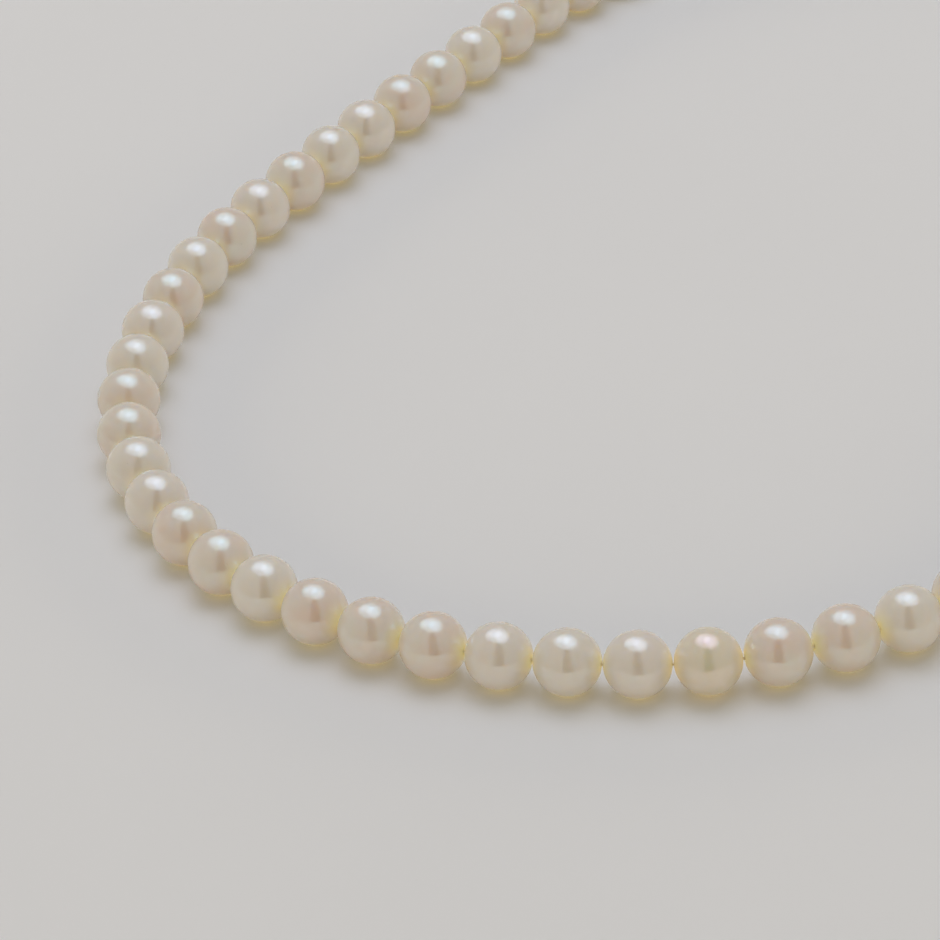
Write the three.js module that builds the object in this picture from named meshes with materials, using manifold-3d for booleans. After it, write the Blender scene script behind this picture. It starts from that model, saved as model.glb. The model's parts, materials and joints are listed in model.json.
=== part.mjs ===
// Pearl necklace, laid open in a loose C on a flat surface.
// Millimetres, +Z up. Every pearl is drilled and free on one thread; the clasp end and the ring end
// each carry a cup-shaped bead tip, a crimp bead, a jump ring and half of the fastening.

import * as THREE from 'three';
import Module from 'manifold-3d';

// ---- Driving dimensions ------------------------------------------------------------------------

const PEARL_D = 8.25; // diameter of the largest pearl
const PEARL_SPREAD = 0.012; // the smallest pearl is this fraction smaller
const DRILL_R = 0.5;
const PEARL_GAP = 0.1; // between the surfaces of two pearls strung in line
const THREAD_R = 0.2;

// The route, from the ring end to the clasp end: [joints, degrees of bend at each joint].
const START_HEADING = 268;
const STRETCHES = [[12, -8], [3, -6], [5, -7], [5, -8], [5, -5], [4, -1], [4, 0], [8, -7]];

const CUP = { r: 1.4, wall: 0.3, length: 1.9, hole: 0.35 }; // bead tip
const CRIMP = { r: 0.7, bore: 0.27, length: 0.9, at: 0.85 };
const EYE = { r: 1.15, wire: 0.28 }; // the standing loops: bead tips, end ring and swivel
const JUMP = { r: 2.3, wire: 0.35, slit: 0.06 };
const END_RING = { r: 2.9, wire: 0.5 };
const LINK_GAP = 0.08; // between two wires that hang in each other

const CLASP_T = 2.9; // thickness of the clasp, which lies on its side
const EYE_Z = CLASP_T / 2;
const REAR_WALL = 1.0; // wall the swivel's post turns in
const POST = { r: 0.45, bore: 0.5, head: 0.8, headT: 0.4, pocket: 0.95 };
const SLOT_T = 1.1; // slot for the lever
const LEVER_T = 0.9;
const PIVOT = [3.0, -1.15];
const PIN = { r: 0.4, bodyBore: 0.43, leverBore: 0.46, length: 2.8 };
const SPRING_WIRE = 0.12;

// Outlines in the clasp's own plane: x runs from the rear wall to the tip.
const CLAW_OUTLINE = [
  [0, -1.2], [0.9, -2.0], [2.6, -2.4], [4.3, -2.4], [4.3, -0.6], [4.7, 0.8], [5.8, 1.5], [8.0, 1.6],
  [9.4, 1.1], [10.1, 0], [10.0, -1.1], [9.4, -1.8], [8.7, -1.9], [8.6, -2.6], [9.4, -2.8],
  [10.4, -2.1], [11.1, -0.9], [11.2, 0.3], [10.6, 1.6], [9.2, 2.5], [7.0, 2.8], [4.0, 2.6],
  [1.4, 2.1], [0, 1.2],
];
const LEVER_OUTLINE = [
  [2.3, -1.5], [2.7, -1.8], [3.2, -1.85], [3.3, -3.0], [3.7, -3.4], [4.2, -3.1], [4.1, -1.9],
  [5.2, -1.75], [9.1, -1.7], [9.3, -1.3], [9.15, -0.9], [4.2, -0.85], [3.6, -0.6], [3.0, -0.4],
  [2.4, -0.6],
];

// ---- Materials ---------------------------------------------------------------------------------

const nacre = new THREE.MeshStandardMaterial({ color: '#e9e2d8', roughness: 0.22, metalness: 0 });
const silver = new THREE.MeshStandardMaterial({ color: '#cfcfcd', roughness: 0.18, metalness: 1 });
const springWire = new THREE.MeshStandardMaterial({ color: '#9c9b98', roughness: 0.3, metalness: 1 });
const silk = new THREE.MeshStandardMaterial({ color: '#e6dfd0', roughness: 0.85, metalness: 0 });

// ---- Solids ------------------------------------------------------------------------------------

const wasm = await Module();
wasm.setup();

const group = new THREE.Group();
group.name = 'pearl_necklace';

function place(name, geometry, material, matrix) {
  if (matrix) geometry.applyMatrix4(matrix);
  const mesh = new THREE.Mesh(geometry, material);
  mesh.name = name;
  group.add(mesh);
}

// A three.js geometry as a solid for union and subtraction, with its shared corners joined.
function solid(geometry) {
  const keyed = new Map();
  const vertProperties = [];
  const remap = [];
  const p = geometry.getAttribute('position');
  for (let i = 0; i < p.count; i += 1) {
    const corner = [p.getX(i), p.getY(i), p.getZ(i)];
    const key = corner.map((c) => Math.round(c * 1e5)).join();
    if (!keyed.has(key)) {
      keyed.set(key, keyed.size);
      vertProperties.push(...corner);
    }
    remap.push(keyed.get(key));
  }
  const order = geometry.index ? Array.from(geometry.index.array) : remap.map((_, i) => i);
  const triVerts = [];
  for (let i = 0; i < order.length; i += 3) {
    const [a, b, c] = [remap[order[i]], remap[order[i + 1]], remap[order[i + 2]]];
    if (a !== b && b !== c && c !== a) triVerts.push(a, b, c);
  }
  return new wasm.Manifold(new wasm.Mesh({
    numProp: 3,
    vertProperties: new Float32Array(vertProperties),
    triVerts: new Uint32Array(triVerts),
  }));
}

function toGeometry(manifold) {
  const mesh = manifold.getMesh();
  const geometry = new THREE.BufferGeometry();
  geometry.setAttribute('position', new THREE.BufferAttribute(mesh.vertProperties, 3));
  geometry.setIndex(new THREE.BufferAttribute(mesh.triVerts, 1));
  return geometry;
}

// A body of revolution about X. The profile is [x, radius] and closes on itself or on the axis.
function turned(profile, segments) {
  const points = profile.map(([x, r]) => new THREE.Vector2(r, x));
  return new THREE.LatheGeometry(points, segments).rotateZ(-Math.PI / 2);
}

// A round bar along X from x0 to x1.
function bar(x0, x1, r, segments = 12) {
  return turned([[x0, 0], [x0, r], [x1, r], [x1, 0]], segments);
}

// A wire ring standing in the XZ plane, or lying in the XY plane.
function standingRing({ r, wire }, x, z) {
  return new THREE.TorusGeometry(r, wire, 8, 20).rotateX(Math.PI / 2).translate(x, 0, z);
}

function lyingRing({ r, wire }, x, z) {
  return new THREE.TorusGeometry(r, wire, 8, 24).translate(x, 0, z);
}

function box(x0, x1, y0, y1, z0, z1) {
  const size = [x1 - x0, y1 - y0, z1 - z0];
  return new THREE.BoxGeometry(...size).translate((x0 + x1) / 2, (y0 + y1) / 2, (z0 + z1) / 2);
}

// A flat plate of the given outline, centred on z = 0, its edges rounded off by the bevel.
function plate(outline, thickness, bevel) {
  const shape = new THREE.Shape(outline.map(([x, y]) => new THREE.Vector2(x, y)));
  const depth = thickness - 2 * bevel;
  return new THREE.ExtrudeGeometry(shape, {
    depth, bevelEnabled: bevel > 0, bevelThickness: bevel, bevelSize: bevel, bevelOffset: -bevel,
    bevelSegments: 1,
  }).translate(0, 0, -depth / 2);
}

function wire(points, r, steps, sides) {
  const section = new THREE.Shape();
  for (let k = 0; k < sides; k += 1) {
    const a = (2 * Math.PI * k) / sides;
    section[k ? 'lineTo' : 'moveTo'](r * Math.cos(a), r * Math.sin(a));
  }
  const extrudePath = new THREE.CatmullRomCurve3(points.map((p) => new THREE.Vector3(...p)));
  return new THREE.ExtrudeGeometry(section, { steps, extrudePath });
}

// ---- The strand --------------------------------------------------------------------------------

const bends = STRETCHES.flatMap(([joints, bend]) => Array(joints).fill(bend));
const pearlCount = bends.length + 1;

// Sizes wander a little from pearl to pearl, as in any matched strand.
const pearlRadius = (i) => (PEARL_D / 2) * (1 - PEARL_SPREAD * ((i * 0.618) % 1));

// Walk from pearl to pearl. Two drill axes meet in the middle of the gap between the pearls.
const pearls = [];
const threadPoints = [];
let point = new THREE.Vector3();
let heading = START_HEADING;
for (let i = 0; i < pearlCount; i += 1) {
  const r = pearlRadius(i);
  const turn = THREE.MathUtils.degToRad(heading);
  const along = new THREE.Vector3(Math.cos(turn), Math.sin(turn), 0);
  const half = along.clone().multiplyScalar(r + PEARL_GAP / 2);
  const centre = point.clone().add(half);
  pearls.push({ r, turn, along, centre, start: point });
  threadPoints.push([point.x, point.y, i ? (r + pearls[i - 1].r) / 2 : r]);
  point = centre.clone().add(half);
  heading += bends[i] ?? 0;
}
const first = pearls[0];
const last = pearls[pearlCount - 1];
threadPoints.push([point.x, point.y, last.r]);

// A drilled ball about X: the outside from one mouth of the hole to the other, and back inside it.
function pearlBody(r) {
  const mouth = Math.asin(DRILL_R / r);
  const arcs = 8;
  const profile = [];
  for (let k = 0; k <= arcs; k += 1) {
    const a = mouth + ((Math.PI - 2 * mouth) * k) / arcs;
    profile.push([-r * Math.cos(a), r * Math.sin(a)]);
  }
  profile.push(profile[0]);
  return turned(profile, 16);
}

pearls.forEach(({ r, turn, centre }, i) => {
  const name = `pearl_${String(i + 1).padStart(2, '0')}`;
  const matrix = new THREE.Matrix4().makeRotationZ(turn).setPosition(centre.x, centre.y, r);
  place(name, pearlBody(r), nacre, matrix);
});

// The thread runs on through both bead tips, to just short of each cup's rim.
const threadEnd = CUP.length;
const tail = (at, along, r) => [at.x + along.x * threadEnd, at.y + along.y * threadEnd, r];
const ringWay = first.along.clone().negate();
const claspWay = last.along;
const route = [tail(first.start, ringWay, first.r), ...threadPoints, tail(point, claspWay, last.r)];
place('thread', wire(route, THREAD_R, 78, 8), silk);

// ---- The two ends ------------------------------------------------------------------------------

// Each end is built with x outward from the middle of the last gap, and z = 0 on the surface below.
function endFrame(at, along) {
  const up = new THREE.Vector3(0, 0, 1);
  const side = new THREE.Vector3().crossVectors(up, along);
  return new THREE.Matrix4().makeBasis(along, side, up).setPosition(at.x, at.y, 0);
}

// Where the tip's loop, the leaning jump ring and the next eye come, for a tip at height h.
const mouthX = PEARL_GAP + CUP.length;
const loopX = mouthX + 0.1 + EYE.wire + EYE.r;
const linkStep = EYE.wire + JUMP.wire + LINK_GAP;
const nearX = loopX + EYE.r - linkStep;
function links(h) {
  const lean = Math.asin((h - EYE_Z) / (2 * JUMP.r));
  const farX = nearX + 2 * JUMP.r * Math.cos(lean);
  return { lean, ringX: (nearX + farX) / 2, ringZ: (h + EYE_Z) / 2, eyeX: farX - linkStep + EYE.r };
}

// A cup with a hole for the thread at its pole, and a loop that stands on a strap from its rim.
function beadTip(h) {
  const { r, wall, length, hole } = CUP;
  const profile = [];
  const dome = (radius, from, steps) => {
    for (let k = 0; k <= steps; k += 1) {
      const a = from + ((Math.PI / 2 - from) * k) / steps;
      profile.push([PEARL_GAP + r - radius * Math.cos(a), radius * Math.sin(a)]);
    }
  };
  dome(r, Math.asin(hole / r), 4);
  profile.push([mouthX, r], [mouthX, r - wall]);
  const outside = profile.splice(0);
  dome(r - wall, Math.asin(hole / (r - wall)), 4);
  const cup = turned([...outside, ...profile.reverse(), outside[0]], 16).translate(0, 0, h);
  const strap = box(mouthX - 0.7, loopX, -0.35, 0.35, h + r - 0.25, h + r);
  return toGeometry(solid(cup).add(solid(strap)).add(solid(standingRing(EYE, loopX, h))));
}

function crimpBead(h) {
  const [x0, x1] = [CRIMP.at, CRIMP.at + CRIMP.length];
  const { r, bore } = CRIMP;
  return turned([[x0, bore], [x0, r], [x1, r], [x1, bore], [x0, bore]], 12).translate(0, 0, h);
}

function jumpRing({ lean, ringX, ringZ }) {
  const ring = solid(lyingRing(JUMP, 0, 0));
  const slit = solid(box(-JUMP.slit / 2, JUMP.slit / 2, JUMP.r - 1, JUMP.r + 1, -1, 1));
  return toGeometry(ring.subtract(slit)).rotateY(lean).translate(ringX, 0, ringZ);
}

const ringEnd = endFrame(first.start, ringWay);
const claspEnd = endFrame(point, claspWay);
const ringLinks = links(first.r);
const claspLinks = links(last.r);

place('bead_tip_a', beadTip(first.r), silver, ringEnd);
place('crimp_a', crimpBead(first.r), silver, ringEnd);
place('jump_ring_a', jumpRing(ringLinks), silver, ringEnd);
place('bead_tip_b', beadTip(last.r), silver, claspEnd);
place('crimp_b', crimpBead(last.r), silver, claspEnd);
place('jump_ring_b', jumpRing(claspLinks), silver, claspEnd);

// The closed ring the clasp hooks into lies flat, with a standing eye soldered to its edge.
const endEye = solid(standingRing(EYE, ringLinks.eyeX, EYE_Z));
const endRingX = ringLinks.eyeX + EYE.r + 0.15 + END_RING.r;
const endRing = endEye.add(solid(lyingRing(END_RING, endRingX, END_RING.wire)));
place('end_ring', toGeometry(endRing), silver, ringEnd);

// ---- The clasp ---------------------------------------------------------------------------------

// Its own x = 0 is the outside of the rear wall, z = 0 its middle plane.
const rearX = claspLinks.eyeX + EYE.r + EYE.wire + 0.25;
const claspFrame = claspEnd.clone().multiply(new THREE.Matrix4().makeTranslation(rearX, 0, EYE_Z));

// The swivel's eye, and the post and head that hold it in the rear wall.
const headX = REAR_WALL + 0.1;
const swivel = solid(standingRing(EYE, claspLinks.eyeX - rearX, 0))
  .add(solid(bar(-0.25 - EYE.wire, headX + 0.1, POST.r)))
  .add(solid(bar(headX, headX + POST.headT, POST.head)));
place('clasp_swivel', toGeometry(swivel), silver, claspFrame);

const pinBar = (r, length) => bar(-length / 2, length / 2, r).rotateY(Math.PI / 2)
  .translate(PIVOT[0], PIVOT[1], 0);

const claw = solid(plate(CLAW_OUTLINE, CLASP_T, 0.25))
  .subtract(solid(box(1.9, 4.5, -4, 0.3, -SLOT_T / 2, SLOT_T / 2)))
  .subtract(solid(bar(REAR_WALL, 2.0, POST.pocket)))
  .subtract(solid(bar(-1, REAR_WALL + 0.1, POST.bore)))
  .subtract(solid(pinBar(PIN.bodyBore, CLASP_T + 1)));
place('clasp_body', toGeometry(claw), silver, claspFrame);

const lever = solid(plate(LEVER_OUTLINE, LEVER_T, 0.12))
  .subtract(solid(pinBar(PIN.leverBore, CLASP_T)));
place('clasp_lever', toGeometry(lever), silver, claspFrame);

place('clasp_pin', pinBar(PIN.r, PIN.length), silver, claspFrame);

// A bent wire that pushes the lever shut from inside the slot.
const springRoute = [[2.3, 0.1, 0], [3.1, -0.08, 0], [3.9, -0.33, 0], [4.4, -0.62, 0]];
place('clasp_spring', wire(springRoute, SPRING_WIRE, 8, 6), springWire, claspFrame);

// ---- The frame: origin at the middle of the base -----------------------------------------------

const bounds = new THREE.Box3().setFromObject(group);
const middle = bounds.getCenter(new THREE.Vector3());
group.children.forEach((mesh) => mesh.geometry.translate(-middle.x, -middle.y, 0));

export default group;
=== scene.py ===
"""Pearl necklace: the looks of a single strand that lies open on a pale surface.

The packed model gives every piece its place. Each pearl, the silk thread, the findings and the
clasp are modelled here in metres, in the same frame, and each rides on its own body.
"""

import json
import math
from random import Random

import bmesh
import bpy
from mathutils import Matrix, Vector


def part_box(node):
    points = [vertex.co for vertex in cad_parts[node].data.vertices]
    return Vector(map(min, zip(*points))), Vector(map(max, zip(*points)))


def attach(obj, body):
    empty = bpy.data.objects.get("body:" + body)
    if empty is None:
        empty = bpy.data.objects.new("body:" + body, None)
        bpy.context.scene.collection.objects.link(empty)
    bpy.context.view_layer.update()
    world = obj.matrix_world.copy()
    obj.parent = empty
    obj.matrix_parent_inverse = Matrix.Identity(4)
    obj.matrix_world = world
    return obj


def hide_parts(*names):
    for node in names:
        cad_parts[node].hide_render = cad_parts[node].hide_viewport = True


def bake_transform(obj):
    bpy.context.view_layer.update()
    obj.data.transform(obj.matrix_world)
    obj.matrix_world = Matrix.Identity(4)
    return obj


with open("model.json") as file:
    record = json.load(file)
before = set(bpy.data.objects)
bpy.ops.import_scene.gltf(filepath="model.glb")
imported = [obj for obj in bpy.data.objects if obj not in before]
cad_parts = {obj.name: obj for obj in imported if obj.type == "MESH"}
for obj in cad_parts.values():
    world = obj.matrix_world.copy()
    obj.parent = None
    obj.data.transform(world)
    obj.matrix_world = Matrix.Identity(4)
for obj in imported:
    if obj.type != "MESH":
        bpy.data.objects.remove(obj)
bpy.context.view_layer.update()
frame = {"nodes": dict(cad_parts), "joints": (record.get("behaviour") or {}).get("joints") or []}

bl_info = {
    "name": "Pearl necklace",
    "version": (1, 0, 0),
    "blender": (4, 5, 0),
    "location": "3D View > Sidebar > Necklace",
    "description": "Builds a pearl strand with its findings, and the surface it lies on",
    "category": "Add Mesh",
}

MM = 0.001
PEARLS = sorted(name for name in frame["nodes"] if name.startswith("pearl_"))
JOINTS = {joint["name"]: joint for joint in frame["joints"]}


# ---- What a user may change -----------------------------------------------------------------------


class PearlSettings(bpy.types.PropertyGroup):
    """Shape and colours of the pearls."""

    drill: bpy.props.FloatProperty(
        name="Drill radius", description="Radius of the hole through each pearl",
        default=0.36 * MM, min=0.0, unit="LENGTH", precision=5)
    rounded: bpy.props.FloatProperty(
        name="Hole rounding", description="How far the mouths of the hole are rounded off",
        default=0.04 * MM, min=0.0, unit="LENGTH", precision=5)
    plump: bpy.props.FloatProperty(
        name="Plumpness", description="How much each pearl closes the gap to its neighbours",
        default=0.003 * MM, min=0.0, unit="LENGTH", precision=6)
    wander: bpy.props.FloatProperty(
        name="Out of round", description="Most that a pearl is squeezed in one direction",
        default=0.006, min=0.0, max=0.05, subtype="FACTOR")
    cream: bpy.props.FloatVectorProperty(
        name="Cream nacre", description="Body colour that all the pearls share in part",
        default=(0.69, 0.62, 0.56), size=3, min=0.0, max=1.0, subtype="COLOR")
    rose: bpy.props.FloatVectorProperty(
        name="Rose nacre", description="Body colour of the rosy pearls",
        default=(0.73, 0.525, 0.46), size=3, min=0.0, max=1.0, subtype="COLOR")
    silver: bpy.props.FloatVectorProperty(
        name="Silver nacre", description="Body colour of the silvery pearls",
        default=(0.67, 0.61, 0.57), size=3, min=0.0, max=1.0, subtype="COLOR")
    green: bpy.props.FloatVectorProperty(
        name="Green nacre", description="Body colour of the greenish pearls",
        default=(0.64, 0.62, 0.50), size=3, min=0.0, max=1.0, subtype="COLOR")


class SilkSettings(bpy.types.PropertyGroup):
    """Size and colour of the thread."""

    radius: bpy.props.FloatProperty(
        name="Thread radius", description="Radius of the twisted thread",
        default=0.2 * MM, min=0.0, unit="LENGTH", precision=5)
    colour: bpy.props.FloatVectorProperty(
        name="Silk colour", description="Colour of the silk",
        default=(0.88, 0.80, 0.62), size=3, min=0.0, max=1.0, subtype="COLOR")


class MetalSettings(bpy.types.PropertyGroup):
    """Sizes and colour of the findings."""

    colour: bpy.props.FloatVectorProperty(
        name="Metal colour", description="Colour of the polished metal",
        default=(0.86, 0.85, 0.83), size=3, min=0.0, max=1.0, subtype="COLOR")
    tarnish: bpy.props.FloatVectorProperty(
        name="Tarnish colour", description="Colour of the metal where it has dulled",
        default=(0.60, 0.57, 0.52), size=3, min=0.0, max=1.0, subtype="COLOR")
    eye: bpy.props.FloatProperty(
        name="Eye radius", description="Radius of the standing loops, to the middle of the wire",
        default=1.15 * MM, min=0.0, unit="LENGTH", precision=5)
    eye_wire: bpy.props.FloatProperty(
        name="Eye wire radius", description="Radius of the wire of the standing loops",
        default=0.28 * MM, min=0.0, unit="LENGTH", precision=5)
    jump: bpy.props.FloatProperty(
        name="Jump ring radius", description="Radius of the jump rings, to the middle of the wire",
        default=2.3 * MM, min=0.0, unit="LENGTH", precision=5)
    jump_wire: bpy.props.FloatProperty(
        name="Jump ring wire radius", description="Radius of the wire of the jump rings",
        default=0.35 * MM, min=0.0, unit="LENGTH", precision=5)
    end_ring: bpy.props.FloatProperty(
        name="End ring radius", description="Radius of the ring that the clasp hooks into",
        default=2.9 * MM, min=0.0, unit="LENGTH", precision=5)
    end_wire: bpy.props.FloatProperty(
        name="End ring wire radius", description="Radius of the wire of that ring",
        default=0.5 * MM, min=0.0, unit="LENGTH", precision=5)


class StageSettings(bpy.types.PropertyGroup):
    """The surface below and the light."""

    surface: bpy.props.FloatVectorProperty(
        name="Surface colour", description="Colour of the surface the strand lies on",
        default=(0.80, 0.80, 0.80), size=3, min=0.0, max=1.0, subtype="COLOR")
    core: bpy.props.FloatProperty(
        name="Soft box core", description="Power of the bright middle of the soft box",
        default=0.9, min=0.0, unit="POWER")
    rim: bpy.props.FloatProperty(
        name="Soft box rim", description="Power of the whole width of the soft box",
        default=4.8, min=0.0, unit="POWER")
    ceiling: bpy.props.FloatProperty(
        name="Ceiling", description="Power of the broad light from above that no pearl mirrors",
        default=11.6, min=0.0, unit="POWER")
    boards: bpy.props.FloatProperty(
        name="Reflector boards", description="Power of each warm board round the strand",
        default=3.7, min=0.0, unit="POWER")
    room: bpy.props.FloatProperty(
        name="Room", description="How bright the room looks in the pearls and the metal",
        default=1.0, min=0.0)


GROUPS = (("necklace_pearls", PearlSettings), ("necklace_silk", SilkSettings),
          ("necklace_metal", MetalSettings), ("necklace_stage", StageSettings))


# ---- Materials ------------------------------------------------------------------------------------


class Value:
    """A value socket, so that sums on it can be written as expressions."""

    def __init__(self, wiring, socket):
        self.wiring, self.socket = wiring, socket

    def _sum(self, operation, *terms):
        node = self.wiring.add("ShaderNodeMath", {"operation": operation}, dict(enumerate(terms)))
        return Value(self.wiring, node.outputs[0])

    def __add__(self, other):
        return self._sum("ADD", self, other)

    __radd__ = __add__

    def __rsub__(self, other):
        return self._sum("SUBTRACT", other, self)

    def __mul__(self, other):
        return self._sum("MULTIPLY", self, other)

    __rmul__ = __mul__

    def above(self, edge, soft):
        """0 below the edge and 1 above it, changing smoothly over the width given."""
        node = self.wiring.add(
            "ShaderNodeMapRange", {"interpolation_type": "SMOOTHSTEP"},
            {"Value": self, "From Min": edge - soft / 2, "From Max": edge + soft / 2})
        return Value(self.wiring, node.outputs["Result"])


class Wiring:
    """The nodes of a material or a world, and how they are joined."""

    def __init__(self, owner):
        owner.use_nodes = True
        self.nodes, self.links = owner.node_tree.nodes, owner.node_tree.links

    def add(self, kind, settings, inputs):
        """A node of that type, with its settings made first and then its sockets."""
        node = self.nodes.new(kind)
        for key, setting in settings.items():
            setattr(node, key, setting)
        for key, value in inputs.items():
            self.connect(node.inputs[key], value)
        return node

    def connect(self, socket, value):
        """Links a value or a socket to that socket, or sets it to a plain number or colour."""
        if isinstance(value, Value):
            value = value.socket
        if isinstance(value, bpy.types.NodeSocket):
            self.links.new(value, socket)
        else:
            socket.default_value = value

    def mix(self, mask, low, high):
        """A colour between low, where the mask is 0, and high, where it is 1."""
        node = self.add("ShaderNodeMix", {"data_type": "RGBA"},
                        {0: mask, 6: (*low, 1) if isinstance(low, tuple) else low,
                         7: (*high, 1) if isinstance(high, tuple) else high})
        return node.outputs[2]


class Finish(Wiring):
    """A material under construction, with its pattern coordinates and its shader."""

    def __init__(self, name, **constant):
        self.material = bpy.data.materials.new(name)
        super().__init__(self.material)
        self.shader = self.nodes["Principled BSDF"]
        self.set(constant)
        self.place = self.add("ShaderNodeTexCoord", {}, {}).outputs["Object"]

    def set(self, values):
        """Sets or links the shader's own sockets, by their names."""
        for key, value in values.items():
            self.connect(self.shader.inputs[key], value)

    def noise(self, size, detail=2.0, rough=0.5, place=None):
        """Cloudy noise with features of about the given size, centred on a half."""
        node = self.add("ShaderNodeTexNoise", {},
                        {"Vector": place or self.place, "Scale": 1 / size, "Detail": detail,
                         "Roughness": rough})
        return Value(self, node.outputs["Fac"])

    def relief(self, height, depth, below=None):
        """A normal for a surface whose height is the given value times depth in metres."""
        inputs = {"Height": height, "Distance": depth, "Strength": 1.0}
        if below is not None:
            inputs["Normal"] = below
        return self.add("ShaderNodeBump", {}, inputs).outputs["Normal"]


def nacre(name, body, tone, shine):
    """Nacre: a translucent creamy body under a soft mirror that has a colour of its own."""
    # The emission strength set here only lights the painted glow wired in below.
    finish = Finish(
        name, **{"IOR": 2.8, "Specular Tint": (*shine, 1), "Subsurface Weight": 0.9,
                 "Subsurface Radius": (1.0, 0.75, 0.5), "Subsurface Scale": 11 * MM,
                 "Emission Strength": 0.4})
    drift = finish.noise(5.5 * MM, 2.0).above(0.5, 0.5)
    clouds = finish.noise(1.6 * MM, 3.0)
    colour = finish.mix(drift * 0.5 + clouds * 0.3, tuple(body), tuple(tone))
    # Painted glow: a yellower base colour and a warm emission round the hole and underneath, standing
    # in for light that soaks through.
    painted_glow = finish.add("ShaderNodeAttribute", {"attribute_name": "painted_glow"}, {}).outputs["Fac"]
    finish.set({"Base Color": finish.mix(Value(finish, painted_glow) * 1.2, colour, (0.95, 0.82, 0.46)),
                "Emission Color": finish.mix(painted_glow, (0.0, 0.0, 0.0), (0.9, 0.68, 0.28)),
                "Roughness": 0.12 + 0.05 * finish.noise(0.5 * MM, 3.0)})
    # Long, very shallow waves under a fine grain, with a small pit in the middle of a few cells.
    waves = finish.relief(finish.noise(2.2 * MM, 1.0), 0.025 * MM)
    grain = finish.relief(finish.noise(0.22 * MM, 3.0, 0.65), 0.003 * MM, waves)
    cells = finish.add("ShaderNodeTexVoronoi", {"feature": "F1"},
                       {"Vector": finish.place, "Scale": 1 / (2.1 * MM)})
    rare = finish.add("ShaderNodeSeparateColor", {}, {"Color": cells.outputs["Color"]})
    chosen = Value(finish, rare.outputs[0]).above(0.86, 0.01)
    pit = (1 - Value(finish, cells.outputs["Distance"]).above(0.055, 0.06)) * chosen
    finish.set({"Normal": finish.relief(1 - pit, 0.03 * MM, grain)})
    return finish.material


def polished_metal(name, bright, dull, roughness):
    """Polished metal with fine scratches, dulled a little in patches."""
    finish = Finish(name, **{"Metallic": 1.0})
    patches = finish.noise(1.3 * MM, 4.0, 0.6).above(0.62, 0.25)
    stretched = finish.add("ShaderNodeMapping", {"vector_type": "POINT"},
                           {"Vector": finish.place, "Scale": (1.0, 1.0, 6.0)}).outputs[0]
    scratches = finish.noise(0.12 * MM, 5.0, 0.7, stretched)
    finish.set({
        "Base Color": finish.mix(patches * 0.55, tuple(bright), tuple(dull)),
        "Roughness": roughness + 0.16 * patches + 0.08 * scratches,
        "Normal": finish.relief(scratches, 0.004 * MM)})
    return finish.material


def twisted_silk(name, colour):
    """Silk with fine filaments and a soft sheen."""
    finish = Finish(name, **{"Sheen Weight": 0.4, "Sheen Roughness": 0.4})
    filaments = finish.noise(0.05 * MM, 4.0, 0.7)
    pale = tuple(min(1.0, c * 1.12) for c in colour)
    finish.set({"Base Color": finish.mix(filaments, tuple(c * 0.72 for c in colour), pale),
                "Roughness": 0.62 + 0.2 * filaments,
                "Normal": finish.relief(filaments, 0.02 * MM)})
    return finish.material


def matt_surface(name, colour):
    """Smooth pale card or cloth with the faintest tooth."""
    finish = Finish(name, **{"IOR": 1.35, "Specular IOR Level": 0.25})
    tooth = finish.noise(0.6 * MM, 4.0, 0.6)
    broad = finish.noise(60 * MM, 2.0)
    pale = tuple(min(1.0, c * 1.015) for c in colour)
    finish.set({"Base Color": finish.mix(broad, tuple(c * 0.985 for c in colour), pale),
                "Roughness": 0.85 + 0.1 * tooth, "Normal": finish.relief(tooth, 0.01 * MM)})
    return finish.material


def silver_finish():
    """The silver that all the findings share, made on first use."""
    name, metal = "polished_silver", bpy.context.scene.necklace_metal
    return bpy.data.materials.get(name) or polished_metal(name, metal.colour, metal.tarnish, 0.1)


# ---- Making pieces --------------------------------------------------------------------------------


def turn_to(direction, origin=(0, 0, 0)):
    """The matrix that lays X along a level direction, with Z up, at the origin given."""
    along = Vector((direction[0], direction[1], 0)).normalized()
    side = Vector((-along.y, along.x, 0))
    turned = Matrix((along, side, (0, 0, 1))).transposed().to_4x4()
    return Matrix.Translation(origin) @ turned


def close_up(bm, verts):
    """Merges what meets within one new shell and turns its faces outwards."""
    verts = [v for v in verts if v.is_valid]
    bmesh.ops.remove_doubles(bm, verts=verts, dist=1e-7)
    faces = {f for v in verts if v.is_valid for f in v.link_faces}
    bmesh.ops.recalc_face_normals(bm, faces=list(faces))


def chain_of(bm, points, closed=False):
    """Vertices joined in a row by edges, for an operator to work on."""
    verts = [bm.verts.new(point) for point in points]
    ends = verts[1:] + ([verts[0]] if closed else [])
    edges = [bm.edges.new(pair) for pair in zip(verts, ends)]
    return verts + edges


def lathe(bm, profile, steps, place=Matrix(), closed=False):
    """Turns a profile of [x, radius] about X, then puts it in place."""
    known = set(bm.verts)
    row = chain_of(bm, [(x, r, 0) for x, r in profile], closed)
    bmesh.ops.spin(bm, geom=row, cent=(0, 0, 0), axis=(1, 0, 0), angle=2 * math.pi,
                   steps=steps, use_merge=True, use_duplicate=False)
    made = [v for v in bm.verts if v not in known]
    bmesh.ops.transform(bm, matrix=place, verts=made)
    close_up(bm, made)


def ring(bm, radius, wire, place=Matrix(), sides=20, steps=64, arc=2 * math.pi):
    """A wire ring about Z; a shorter arc leaves it open, with its ends closed flat."""
    known = set(bm.verts)
    around = [2 * math.pi * k / sides for k in range(sides)]
    section = chain_of(bm, [(radius + wire * math.cos(a), 0, wire * math.sin(a)) for a in around],
                       closed=True)
    whole = arc >= 2 * math.pi
    bmesh.ops.spin(bm, geom=section, cent=(0, 0, 0), axis=(0, 0, 1), angle=arc, steps=steps,
                   use_merge=whole, use_duplicate=False)
    if not whole:
        bmesh.ops.holes_fill(bm, edges=[e for e in bm.edges if e.is_boundary], sides=0)
    made = [v for v in bm.verts if v not in known]
    bmesh.ops.transform(bm, matrix=place, verts=made)
    close_up(bm, made)


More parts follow.
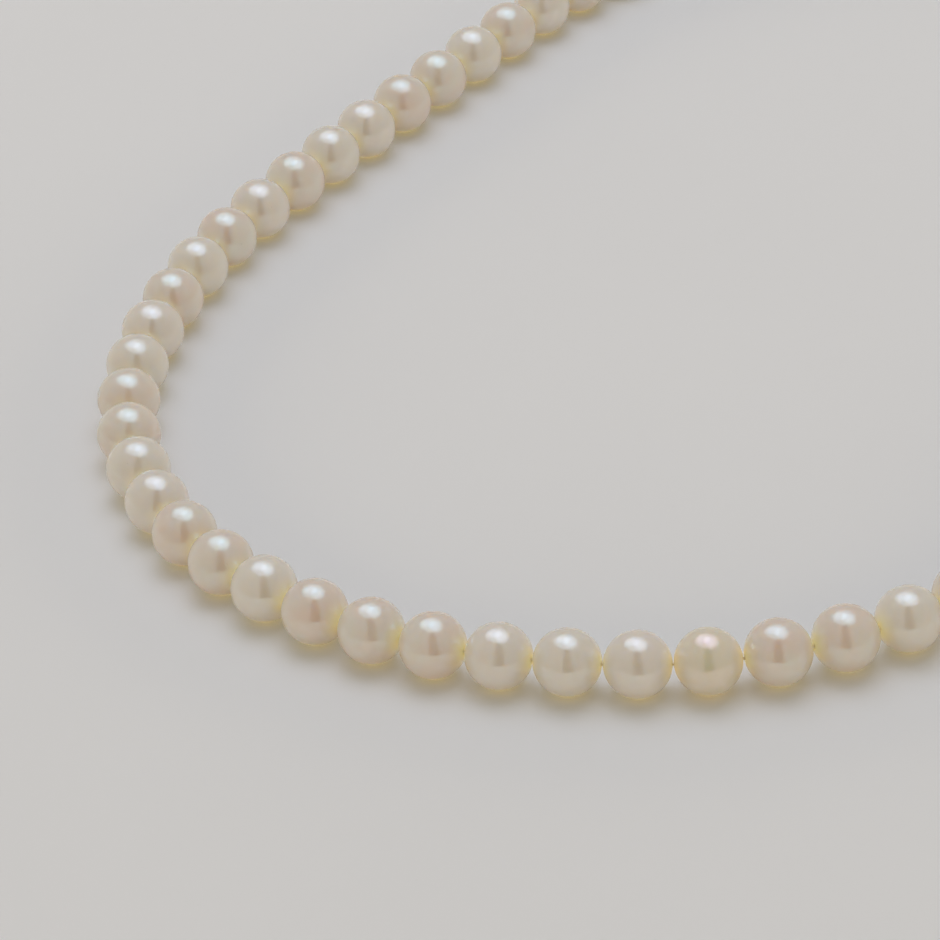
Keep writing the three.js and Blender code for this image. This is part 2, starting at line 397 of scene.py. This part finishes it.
def slab(bm, outline, low, high, place=Matrix(), bevel=0.0, ends=("low", "high")):
    """An outline in the XY plane made a closed slab, its named outer edges rounded off."""
    known = set(bm.verts)
    face = bm.faces.new([bm.verts.new((x, y, low)) for x, y in outline])
    grown = bmesh.ops.extrude_face_region(bm, geom=[face])["geom"]
    top = [g for g in grown if isinstance(g, bmesh.types.BMVert)]
    bmesh.ops.translate(bm, vec=(0, 0, high - low), verts=top)
    new = [v for v in bm.verts if v not in known]
    if bevel:
        levels = [low] * ("low" in ends) + [high] * ("high" in ends)
        rims = [e for e in bm.edges if e.verts[0] in new and any(
            all(abs(v.co.z - level) < 1e-7 for v in e.verts) for level in levels)]
        bmesh.ops.bevel(bm, geom=rims, offset=bevel, segments=4, profile=0.5, affect="EDGES",
                        material=-1)
    made = [v for v in bm.verts if v not in known]
    bmesh.ops.transform(bm, matrix=place, verts=made)
    close_up(bm, made)


def rounded(outline, passes=2):
    """The outline with more points, its corners eased into curves."""
    bm = bmesh.new()
    chain_of(bm, [(x, y, 0) for x, y in outline], closed=True)
    for _ in range(passes):
        bmesh.ops.subdivide_edges(bm, edges=bm.edges[:], cuts=1)
        bmesh.ops.smooth_vert(bm, verts=bm.verts[:], factor=0.5, use_axis_x=True,
                              use_axis_y=True, use_axis_z=False)
    bm.verts.ensure_lookup_table()
    loop, at = [], bm.verts[0]
    while at not in loop:
        loop.append(at)
        onward = [e.other_vert(at) for e in at.link_edges if e.other_vert(at) not in loop]
        at = onward[0] if onward else loop[0]
    points = [(v.co.x, v.co.y) for v in loop]
    bm.free()
    area = sum(a[0] * b[1] - b[0] * a[1] for a, b in zip(points, points[1:] + points[:1]))
    return points if area > 0 else points[::-1]


def bent_bar(bm, points, radius, sides=12):
    """A round bar that follows the points, closed at both ends."""
    points = [Vector(p) for p in points]
    circle = bmesh.ops.create_circle(bm, cap_ends=True, segments=sides, radius=radius)["verts"]
    known = set(bm.verts) - set(circle)
    way = (points[1] - points[0]).normalized()
    bmesh.ops.transform(bm, verts=circle, matrix=Matrix.Translation(points[0])
                        @ Vector((0, 0, 1)).rotation_difference(way).to_matrix().to_4x4())
    faces = [f for f in bm.faces if all(v in circle for v in f.verts)]
    for before, here, after in zip(points, points[1:], points[2:] + [None]):
        grown = bmesh.ops.extrude_face_region(bm, geom=faces)["geom"]
        faces = [g for g in grown if isinstance(g, bmesh.types.BMFace)]
        verts = [g for g in grown if isinstance(g, bmesh.types.BMVert)]
        onward = ((after - before) if after else (here - before)).normalized()
        spin = way.rotation_difference(onward).to_matrix().to_4x4()
        bmesh.ops.transform(bm, verts=verts, matrix=Matrix.Translation(here) @ spin
                            @ Matrix.Translation(-before))
        way = onward
    made = [v for v in bm.verts if v not in known]
    close_up(bm, made)
    return made


def piece(name, bm, material, body=None, stands_for=()):
    """A finished piece in its place, riding on its body and standing for CAD nodes."""
    mesh = bpy.data.meshes.new(name)
    bm.to_mesh(mesh)
    bm.free()
    mesh.shade_smooth()
    mesh.materials.append(material)
    made = bpy.data.objects.new(name, mesh)
    bpy.context.scene.collection.objects.link(made)
    if stands_for:
        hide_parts(*stands_for)
    if body:
        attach(made, body)
    return made


def crisp(made, angle=40):
    """Keeps the corners of a metal piece sharp while its curves stay smooth."""
    made.data.set_sharp_from_angle(angle=math.radians(angle))
    return made


# ---- Where things are -----------------------------------------------------------------------------


def middle(node):
    """The middle of a CAD node's box."""
    low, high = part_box(node)
    return (Vector(low) + Vector(high)) / 2


def height(node):
    """How tall a CAD node is."""
    low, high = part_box(node)
    return high[2] - low[2]


def gap_points():
    """The middle of every gap, from the ring end to the clasp end, as [before, after, point]."""
    rows = [("bead_tip_a", PEARLS[0], JOINTS["tip_a_bend"])]
    for number, (near, far) in enumerate(zip(PEARLS, PEARLS[1:]), start=1):
        rows.append((near, far, JOINTS[f"pearl_bend_{number:02d}"]))
    rows.append((PEARLS[-1], "bead_tip_b", JOINTS["tip_b_bend"]))
    return [(before, after, Vector(joint["pos_m"])) for before, after, joint in rows]


class End:
    """One end of the strand: X runs outwards from its last gap, and Z is 0 on the surface."""

    def __init__(self, letter):
        metal = bpy.context.scene.necklace_metal
        pearl = PEARLS[0] if letter == "a" else PEARLS[-1]
        start = Vector(JOINTS[f"tip_{letter}_bend"]["pos_m"])
        self.height = height(pearl) / 2
        self.place = turn_to(start - middle(pearl), (start.x, start.y, 0))
        step = metal.eye_wire + metal.jump_wire + 0.08 * MM
        self.eye_z = 1.45 * MM
        self.loop_x = 2.1 * MM + metal.eye_wire + metal.eye
        near = self.loop_x + metal.eye - step
        self.lean = math.asin((self.height - self.eye_z) / (2 * metal.jump))
        far = near + 2 * metal.jump * math.cos(self.lean)
        self.jump_x, self.jump_z = (near + far) / 2, (self.height + self.eye_z) / 2
        self.eye_x = far - step + metal.eye
        self.rear_x = self.eye_x + metal.eye + metal.eye_wire + 0.25 * MM

    def at(self, x, y=0.0, z=0.0):
        """The matrix of a place on this end."""
        return self.place @ Matrix.Translation((x, y, z))


# Stands a level ring up, in line with its end of the strand.
STANDING = Matrix.Rotation(math.pi / 2, 4, "X")


# ---- The strand -----------------------------------------------------------------------------------


# The overtone of each pearl along the strand: rose, silver, cream or green.
TONES = "rcsrcrsr" + "crrgscsrrrcr" + "rscrrcsrcrsrcsrrcrs" + "rcsrrcsr"
# How far the painted glow spreads round the hole and round the lowest point, and how strong it is at
# the hole.
HOLE_SPREAD, BASE_SPREAD, HOLE_PAINTED_GLOW = math.radians(48), math.radians(62), 0.62


class NECKLACE_OT_pearls(bpy.types.Operator):
    """Every pearl: a drilled ball, very slightly out of round, with soft mouths to its hole"""

    bl_idname = "necklace.pearls"
    bl_label = "Pearls"

    def execute(self, context):
        look = context.scene.necklace_pearls
        tones = {
            "r": nacre("nacre_rose", look.cream, look.rose, (0.62, 0.94, 1.0)),
            "s": nacre("nacre_silver", look.cream, look.silver, (0.80, 0.94, 1.0)),
            "c": nacre("nacre_cream", look.cream, look.cream, (0.74, 0.93, 1.0)),
            "g": nacre("nacre_green", look.green, look.green, (1.0, 0.82, 0.95))}
        gaps = [point for _, _, point in gap_points()]
        for number, name in enumerate(PEARLS):
            self.pearl(look, name, gaps[number], gaps[number + 1], tones[TONES[number]],
                       Random(number))
        return {"FINISHED"}

    def pearl(self, look, name, near, far, material, chance):
        """One pearl, with its hole in line with the gaps on its two sides."""
        radius = height(name) / 2 + look.plump
        mouth = math.sqrt(radius ** 2 - (look.drill + look.rounded) ** 2)
        begin = math.asin((look.drill + look.rounded) / radius)
        arcs = 30
        profile = [(-radius * math.cos(a), radius * math.sin(a)) for a in
                   (begin + (math.pi - 2 * begin) * k / arcs for k in range(arcs + 1))]
        edge = mouth - look.rounded
        inside = [(edge + look.rounded * 0.55, look.drill + look.rounded * 0.22),
                  (edge, look.drill), (edge * 0.4, look.drill),
                  (-edge * 0.4, look.drill), (-edge, look.drill),
                  (-edge - look.rounded * 0.55, look.drill + look.rounded * 0.22)]
        bm = bmesh.new()
        lathe(bm, profile + inside, 60, closed=True)
        # Painted glow: a mask, strongest at the hole and at the lowest point, that the nacre turns
        # into painted light.
        painted_glow = bm.verts.layers.float.new("painted_glow")
        for v in bm.verts:
            level = v.co.normalized()
            near_hole = 1 - math.acos(min(1.0, abs(level.x))) / HOLE_SPREAD
            near_base = 1 - math.acos(max(-1.0, min(1.0, -level.z))) / BASE_SPREAD
            v[painted_glow] = max(0.0, HOLE_PAINTED_GLOW * near_hole, near_base) ** 1.5
        squeeze = [1 - look.wander * chance.random() for _ in range(3)]
        tilt = Matrix.Rotation(chance.uniform(0, math.pi), 4, "X")
        bmesh.ops.transform(bm, verts=bm.verts[:],
                            matrix=tilt @ Matrix.Diagonal((*squeeze, 1)) @ tilt.inverted())
        centre = middle(name)
        centre.z = -min(v.co.z for v in bm.verts)
        bmesh.ops.transform(bm, verts=bm.verts[:], matrix=turn_to(far - near, centre))
        piece(f"{name}_nacre", bm, material, name, [name])


class NECKLACE_OT_thread(bpy.types.Operator):
    """The silk thread, in stretches that bend at the gaps between the pearls"""

    bl_idname = "necklace.thread"
    bl_label = "Thread"

    def execute(self, context):
        silk = context.scene.necklace_silk
        material = twisted_silk("twisted_silk", silk.colour)
        rows = gap_points()
        for number, (before, after, gap) in enumerate(rows):
            back = self.inner_end(before, gap, number == 0)
            front = self.inner_end(after, gap, number == len(rows) - 1)
            bm = bmesh.new()
            steps = 22
            points = [back.lerp(gap, k / steps * 2) if k <= steps / 2
                      else gap.lerp(front, k / steps * 2 - 1) for k in range(steps + 1)]
            self.plies(bm, points, silk.radius)
            made = piece(f"thread_{number:02d}", bm, material, stands_for=["thread"])
            along = (front - back).normalized()
            gap - along * 0.5 * MM
            gap + along * 0.5 * MM
            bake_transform(made)
        return {"FINISHED"}

    def inner_end(self, body, gap, outermost):
        """The middle of the pearl, or just short of the cup's rim beyond the last gap."""
        if body.startswith("pearl_"):
            return middle(body)
        end = End(body[-1])
        return end.at(1.88 * MM, 0, end.height).translation

    def plies(self, bm, points, radius):
        """Three plies laid round each other, as one closed bar with a three-lobed section."""
        side = Vector((points[0].y - points[-1].y, points[-1].x - points[0].x, 0)).normalized()
        for v in bent_bar(bm, points, radius, sides=18):
            heart = min(points, key=lambda p: (v.co - p).length_squared)
            arm = v.co - heart
            turn = math.atan2(arm.z, arm.dot(side)) - (heart - points[0]).length / (0.35 * MM)
            v.co = heart + arm * (0.87 + 0.13 * math.cos(3 * turn))


# ---- The findings ---------------------------------------------------------------------------------


class NECKLACE_OT_bead_tips(bpy.types.Operator):
    """The cup at each end of the strand, with its strap and standing loop"""

    bl_idname = "necklace.bead_tips"
    bl_label = "Bead tips"

    def execute(self, context):
        metal = context.scene.necklace_metal
        for letter in "ab":
            end = End(letter)
            bm = bmesh.new()
            place = end.at(0, 0, end.height)
            lathe(bm, self.cup(), 48, place, closed=True)
            strap = [(1.3, -0.34), (3.5, -0.3), (3.62, -0.2), (3.62, 0.2), (3.5, 0.3), (1.3, 0.34)]
            slab(bm, [(x * MM, y * MM) for x, y in strap], 1.17 * MM, 1.4 * MM, place,
                 bevel=0.06 * MM)
            ring(bm, metal.eye, metal.eye_wire,
                 end.at(end.loop_x, 0, end.height) @ STANDING)
            name = f"bead_tip_{letter}"
            crisp(piece(f"{name}_metal", bm, silver_finish(), name, [name]))
        return {"FINISHED"}

    def cup(self):
        """The cup's section: outside from the hole to the rim, over the rim, and back inside."""
        centre, outer, inner, hole = 1.5, 1.4, 1.1, 0.35
        first, second = math.asin(hole / outer), math.asin(hole / inner)
        dome = [first + (math.pi / 2 - first) * k / 12 for k in range(13)]
        bowl = [second + (math.pi / 2 - second) * k / 12 for k in range(13)]
        outside = [(centre - outer * math.cos(a), outer * math.sin(a)) for a in dome]
        rim = [(1.9, outer), (1.97, outer - 0.03), (2.0, outer - 0.1), (2.0, inner + 0.1),
               (1.97, inner + 0.03), (1.9, inner)]
        inside = [(centre - inner * math.cos(a), inner * math.sin(a)) for a in reversed(bowl)]
        return [(x * MM, r * MM) for x, r in outside + rim + inside]


class NECKLACE_OT_crimps(bpy.types.Operator):
    """The crimp bead inside each cup, pinched flat on its thread"""

    bl_idname = "necklace.crimps"
    bl_label = "Crimp beads"

    def execute(self, context):
        for letter in "ab":
            end = End(letter)
            bm = bmesh.new()
            section = [(0.87, 0.27), (0.85, 0.4), (0.88, 0.62), (0.98, 0.69), (1.3, 0.66),
                       (1.62, 0.69), (1.72, 0.62), (1.75, 0.4), (1.73, 0.27)]
            lathe(bm, [(x * MM, r * MM) for x, r in section], 36, end.at(0, 0, end.height),
                  closed=True)
            name = f"crimp_{letter}"
            piece(f"{name}_metal", bm, silver_finish(), f"bead_tip_{letter}", [name])
        return {"FINISHED"}


class NECKLACE_OT_jump_rings(bpy.types.Operator):
    """The two jump rings, each with the fine slit it was opened at"""

    bl_idname = "necklace.jump_rings"
    bl_label = "Jump rings"

    def execute(self, context):
        metal = context.scene.necklace_metal
        slit = 0.05 * MM / metal.jump
        for letter in "ab":
            end = End(letter)
            bm = bmesh.new()
            lean = Matrix.Rotation(end.lean, 4, "Y") @ Matrix.Rotation(
                math.pi / 2 + slit / 2, 4, "Z")
            ring(bm, metal.jump, metal.jump_wire, end.at(end.jump_x, 0, end.jump_z) @ lean,
                 steps=96, arc=2 * math.pi - slit)
            name = f"jump_ring_{letter}"
            crisp(piece(f"{name}_wire", bm, silver_finish(), name, [name]), 60)
        return {"FINISHED"}


class NECKLACE_OT_end_ring(bpy.types.Operator):
    """The closed ring that the clasp hooks into, with its soldered eye"""

    bl_idname = "necklace.end_ring"
    bl_label = "End ring"

    def execute(self, context):
        metal = context.scene.necklace_metal
        end = End("a")
        bm = bmesh.new()
        ring(bm, metal.eye, metal.eye_wire, end.at(end.eye_x, 0, end.eye_z) @ STANDING)
        centre = end.eye_x + metal.eye + 0.15 * MM + metal.end_ring
        ring(bm, metal.end_ring, metal.end_wire, end.at(centre, 0, metal.end_wire), steps=96)
        solder = end.at(end.eye_x + metal.eye + 0.05 * MM, 0, 0.82 * MM)
        bmesh.ops.create_uvsphere(bm, u_segments=24, v_segments=14, radius=0.42 * MM,
                                  matrix=solder @ Matrix.Diagonal((1.0, 1.15, 0.9, 1)))
        piece("end_ring_metal", bm, silver_finish(), "end_ring", ["end_ring"])
        return {"FINISHED"}


# ---- The clasp ------------------------------------------------------------------------------------

# Outlines in millimetres in the clasp's own plane: X runs from the rear wall to the tip.
CLAW = [(0, -1.2), (0.9, -2.0), (2.6, -2.4), (4.3, -2.4), (4.3, -0.6), (4.7, 0.8), (5.8, 1.5),
        (8.0, 1.6), (9.4, 1.1), (10.1, 0), (10.0, -1.1), (9.4, -1.8), (8.7, -1.9), (8.6, -2.6),
        (9.4, -2.8), (10.4, -2.1), (11.1, -0.9), (11.2, 0.3), (10.6, 1.6), (9.2, 2.5), (7.0, 2.8),
        (4.0, 2.6), (1.4, 2.1), (0, 1.2)]
LEVER = [(2.3, -1.5), (2.7, -1.8), (3.2, -1.85), (3.3, -3.0), (3.7, -3.4), (4.2, -3.1),
         (4.1, -1.9), (5.2, -1.75), (9.1, -1.7), (9.3, -1.3), (9.15, -0.9), (4.2, -0.85),
         (3.6, -0.6), (3.0, -0.4), (2.4, -0.6)]
PIVOT = (3.0, -1.15)
# The hollows inside: a bore in the rear wall, a pocket for the swivel's head, the lever's slot.
POCKET_REAR, SLOT_REAR, SLOT_FRONT, SLOT_TOP = 1.0, 1.9, 4.5, 0.3
POCKET_HALF, BORE_HALF = 0.95, 0.5


def clasp_place():
    """The matrix of the clasp's own plane."""
    end = End("b")
    return end.at(end.rear_x, 0, end.eye_z)


class NECKLACE_OT_clasp_body(bpy.types.Operator):
    """The claw and its two cheeks, with the slot between them that the lever turns in"""

    bl_idname = "necklace.clasp_body"
    bl_label = "Clasp body"

    def execute(self, context):
        place = clasp_place()
        half, slot = 1.45 * MM, 0.55 * MM
        outline = [(x * MM, y * MM) for x, y in rounded(CLAW)]
        bm = bmesh.new()
        slab(bm, outline, slot, half, place, bevel=0.26 * MM, ends=("high",))
        slab(bm, outline, -half, -slot, place, bevel=0.26 * MM, ends=("low",))
        for part in self.core(outline):
            slab(bm, part, -slot, slot, place)
        crisp(piece("clasp_claw", bm, silver_finish(), "clasp_body", ["clasp_body"]), 50)
        return {"FINISHED"}

    def core(self, outline):
        """The middle layer of the claw, cut round the lever's slot and the swivel's pocket."""
        bm = bmesh.new()
        bm.faces.new([bm.verts.new((x, y, 0)) for x, y in outline])
        cuts = [Vector((x, 0, 0)) for x in (POCKET_REAR, SLOT_REAR, SLOT_FRONT)] + [
            Vector((0, y, 0)) for y in (SLOT_TOP, POCKET_HALF, -POCKET_HALF, BORE_HALF, -BORE_HALF)]
        for point in cuts:
            bmesh.ops.bisect_plane(bm, geom=bm.verts[:] + bm.edges[:] + bm.faces[:], dist=1e-8,
                                   plane_co=point * MM, plane_no=point.normalized())

        def hollow(face):
            x, y, _ = face.calc_center_median() / MM
            in_slot = SLOT_REAR < x < SLOT_FRONT and y < SLOT_TOP
            in_pocket = POCKET_REAR < x < SLOT_REAR and abs(y) < POCKET_HALF
            in_bore = x < POCKET_REAR and abs(y) < BORE_HALF
            return in_slot or in_pocket or in_bore

        bmesh.ops.delete(bm, geom=[f for f in bm.faces if hollow(f)], context="FACES")
        parts = [[(v.co.x, v.co.y) for v in f.verts] for f in bm.faces]
        bm.free()
        return parts


class NECKLACE_OT_clasp_lever(bpy.types.Operator):
    """The sprung lever with its thumb tab"""

    bl_idname = "necklace.clasp_lever"
    bl_label = "Clasp lever"

    def execute(self, context):
        bm = bmesh.new()
        outline = [(x * MM, y * MM) for x, y in rounded(LEVER)]
        slab(bm, outline, -0.45 * MM, 0.45 * MM, clasp_place(), bevel=0.1 * MM)
        crisp(piece("clasp_lever_metal", bm, silver_finish(), "clasp_lever",
                    ["clasp_lever"]), 50)
        return {"FINISHED"}


class NECKLACE_OT_clasp_pin(bpy.types.Operator):
    """The rivet that the lever turns on, with softly domed heads"""

    bl_idname = "necklace.clasp_pin"
    bl_label = "Clasp pin"

    def execute(self, context):
        half, radius = 1.4 * MM, 0.4 * MM
        dome = [(half - 0.1 * MM + 0.1 * MM * math.sin(a), radius * math.cos(a))
                for a in (math.pi / 2 * k / 5 for k in range(6))]
        section = [(-x, r) for x, r in reversed(dome)] + dome
        upright = Matrix.Translation(Vector((*PIVOT, 0)) * MM) @ Matrix.Rotation(
            math.pi / 2, 4, "Y")
        bm = bmesh.new()
        lathe(bm, section, 32, clasp_place() @ upright)
        crisp(piece("clasp_pin_metal", bm, silver_finish(), "clasp_body", ["clasp_pin"]))
        return {"FINISHED"}


class NECKLACE_OT_clasp_spring(bpy.types.Operator):
    """The bent wire that holds the lever shut, and gives way in front when the lever opens"""

    bl_idname = "necklace.clasp_spring"
    bl_label = "Clasp spring"

    def execute(self, context):
        knots = [(2.3, 0.1), (2.7, 0.03), (3.1, -0.08), (3.5, -0.2), (3.9, -0.33), (4.2, -0.48),
                 (4.4, -0.62)]
        bm = bmesh.new()
        made = bent_bar(bm, [(x * MM, y * MM, 0) for x, y in knots], 0.12 * MM)
        bmesh.ops.transform(bm, matrix=clasp_place(), verts=made)
        metal = context.scene.necklace_metal
        steel = polished_metal("spring_steel", [c * 0.72 for c in metal.colour],
                               [c * 0.7 for c in metal.tarnish], 0.24)
        wire = crisp(piece("clasp_spring_wire", bm, steel,
                           stands_for=["clasp_spring"]))
        fixed, free = (clasp_place() @ Vector((x * MM, 0, 0)) for x in (2.5, 3.8))
        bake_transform(wire)
        return {"FINISHED"}


class NECKLACE_OT_clasp_swivel(bpy.types.Operator):
    """The eye behind the clasp, whose post turns in the rear wall"""

    bl_idname = "necklace.clasp_swivel"
    bl_label = "Clasp swivel"

    def execute(self, context):
        metal = context.scene.necklace_metal
        end = End("b")
        bm = bmesh.new()
        ring(bm, metal.eye, metal.eye_wire, end.at(end.eye_x, 0, end.eye_z) @ STANDING)
        section = [(-0.53, 0), (-0.53, 0.38), (-0.3, 0.45), (1.1, 0.45), (1.1, 0.74), (1.16, 0.8),
                   (1.44, 0.8), (1.5, 0.72), (1.5, 0)]
        lathe(bm, [(x * MM, r * MM) for x, r in section], 32, clasp_place())
        crisp(piece("clasp_swivel_metal", bm, silver_finish(), "clasp_swivel",
                    ["clasp_swivel"]))
        return {"FINISHED"}


# ---- The stage ------------------------------------------------------------------------------------


class NECKLACE_OT_stage(bpy.types.Operator):
    """The pale surface, the soft light over it, the dim side of the room, and the camera"""

    bl_idname = "necklace.stage"
    bl_label = "Stage"

    def execute(self, context):
        look = context.scene.necklace_stage
        self.surface(look)
        self.soft_box(look)
        self.reflector_boards(look)
        self.room(look)
        self.dark_flag()
        self.camera()
        context.scene.view_settings.view_transform = "Standard"
        return {"FINISHED"}

    def panel(self, name, corners, material):
        """A flat stage piece with those corners."""
        bm = bmesh.new()
        bm.faces.new([bm.verts.new(corner) for corner in corners])
        mesh = bpy.data.meshes.new(name)
        bm.to_mesh(mesh)
        bm.free()
        mesh.materials.append(material)
        made = bpy.data.objects.new(name, mesh)
        bpy.context.scene.collection.objects.link(made)
        return made

    def surface(self, look):
        """The level surface, wide enough that its edges stay out of sight."""
        reach = 6.0
        corners = [(-reach, -reach, 0), (reach, -reach, 0), (reach, reach, 0), (-reach, reach, 0)]
        self.panel("surface", corners, matt_surface("pale_surface", look.surface))

    def soft_box(self, look):
        """A long lamp overhead, brighter in its middle, and a ceiling that lights more evenly."""
        place = Vector((0, math.sin(math.radians(17)), math.cos(math.radians(17)))) * 1.31
        aside = Vector((0.17, -0.13, 0))
        for part, size, power, colour, shift in (
                ("far", (0.7, 0.9), look.core, (0.88, 0.97, 1.27), -aside),
                ("near", (0.7, 0.9), look.core, (0.86, 0.97, 1.27), aside),
                ("rim", (1.45, 1.85), look.rim, (0.96, 0.99, 1.12), aside * 0)):
            lamp = self.lamp(f"soft_box_{part}", "ELLIPSE", size, power, colour, place + shift)
            lamp.rotation_euler.rotate_axis("Z", math.radians(35))
        ceiling = self.lamp("ceiling", "RECTANGLE", (3.2, 3.2), look.ceiling, (0.97, 1.0, 0.96),
                            Vector((0, 0, 1.4)))
        ceiling.visible_glossy = False

    def reflector_boards(self, look):
        """Warm boards standing all round, which light the lower halves but don't show in them."""
        for k in range(6):
            turn = 2 * math.pi * (k + 0.5) / 6
            place = Vector((1.3 * math.cos(turn), 1.3 * math.sin(turn), 0.36))
            board = self.lamp(f"board_{k}", "RECTANGLE", (1.5, 0.7), look.boards,
                              (1.0, 0.85, 0.62), place)
            board.visible_glossy = False
            board.visible_camera = False

    def lamp(self, name, shape, size, power, colour, place):
        """An area lamp at that place, facing the strand."""
        light = bpy.data.lights.new(name, "AREA")
        light.shape, light.size, light.size_y = shape, *size
        light.energy, light.color = power, colour
        lamp = bpy.data.objects.new(name, light)
        lamp.location = place
        lamp.rotation_euler = place.to_track_quat("Z", "Y").to_euler()
        bpy.context.scene.collection.objects.link(lamp)
        return lamp

    def room(self, look):
        """The room as it shows in the pearls: dim on the near side, pale above and beyond."""
        world = bpy.data.worlds.new("room")
        bpy.context.scene.world = world
        world.cycles_visibility.diffuse = False
        wiring = Wiring(world)
        way = wiring.add("ShaderNodeTexCoord", {}, {}).outputs["Generated"]
        parts = wiring.add("ShaderNodeSeparateXYZ", {}, {"Vector": way})
        beyond = Value(wiring, parts.outputs["Y"]).above(0.0, 1.8)
        shade = wiring.mix(beyond, (0.36, 0.355, 0.35), (0.47, 0.46, 0.445))
        back = wiring.nodes["Background"]
        wiring.connect(back.inputs["Color"], shade)
        wiring.connect(back.inputs["Strength"], look.room)

    def dark_flag(self):
        """A dark card on the near side, seen only in the pearls, narrow at its top."""
        finish = Finish("dark_card", **{"Base Color": (0.02, 0.02, 0.02, 1), "Roughness": 0.9})
        centre, foot, top = -0.027, 0.19, 0.085
        corners = [(centre - foot, -0.72, 0.005), (centre + foot, -0.72, 0.005),
                   (centre + top, -0.25, 0.82), (centre - top, -0.25, 0.82)]
        card = self.panel("dark_card", corners, finish.material)
        card.visible_camera = False
        card.visible_shadow = False
        card.visible_diffuse = False

    def camera(self):
        """A long lens that looks down at the bend of the strand, rolled a little to one side."""
        data = bpy.data.cameras.new("camera")
        data.sensor_width, data.lens = 36.0, 179.6
        camera = bpy.data.objects.new("camera", data)
        bpy.context.scene.collection.objects.link(camera)
        down, roll = math.radians(33.5), math.radians(4.84)
        ahead = Vector((0, math.cos(down), -math.sin(down)))
        level, above = Vector((1, 0, 0)), Vector((0, math.sin(down), math.cos(down)))
        right = level * math.cos(roll) - above * math.sin(roll)
        up = level * math.sin(roll) + above * math.cos(roll)
        turned = Matrix((right, up, -ahead)).transposed().to_4x4()
        camera.matrix_world = Matrix.Translation((-0.0266, -0.5382, 0.3271)) @ turned
        bpy.context.scene.camera = camera


# ---- The add-on -----------------------------------------------------------------------------------

OPERATORS = (
    NECKLACE_OT_pearls, NECKLACE_OT_thread, NECKLACE_OT_bead_tips, NECKLACE_OT_crimps,
    NECKLACE_OT_jump_rings, NECKLACE_OT_end_ring, NECKLACE_OT_clasp_body, NECKLACE_OT_clasp_lever,
    NECKLACE_OT_clasp_pin, NECKLACE_OT_clasp_spring, NECKLACE_OT_clasp_swivel, NECKLACE_OT_stage)


class NECKLACE_PT_sidebar(bpy.types.Panel):
    """The steps that build the necklace, with what may be changed in each"""

    bl_idname = "NECKLACE_PT_sidebar"
    bl_label = "Pearl necklace"
    bl_space_type = "VIEW_3D"
    bl_region_type = "UI"
    bl_category = "Necklace"

    def draw(self, context):
        for prop, kind in GROUPS:
            column = self.layout.column(heading=kind.__doc__)
            for key in kind.__annotations__:
                column.prop(getattr(context.scene, prop), key)
        for step in OPERATORS:
            self.layout.operator(step.bl_idname)


def register():
    for prop, kind in GROUPS:
        bpy.utils.register_class(kind)
        setattr(bpy.types.Scene, prop, bpy.props.PointerProperty(type=kind))
    for kind in (*OPERATORS, NECKLACE_PT_sidebar):
        bpy.utils.register_class(kind)


def unregister():
    for kind in (NECKLACE_PT_sidebar, *reversed(OPERATORS)):
        bpy.utils.unregister_class(kind)
    for prop, kind in reversed(GROUPS):
        delattr(bpy.types.Scene, prop)
        bpy.utils.unregister_class(kind)


def main():
    register()
    for step in OPERATORS:
        family, name = step.bl_idname.split(".")
        getattr(getattr(bpy.ops, family), name)()


if __name__ == "__main__":
    main()
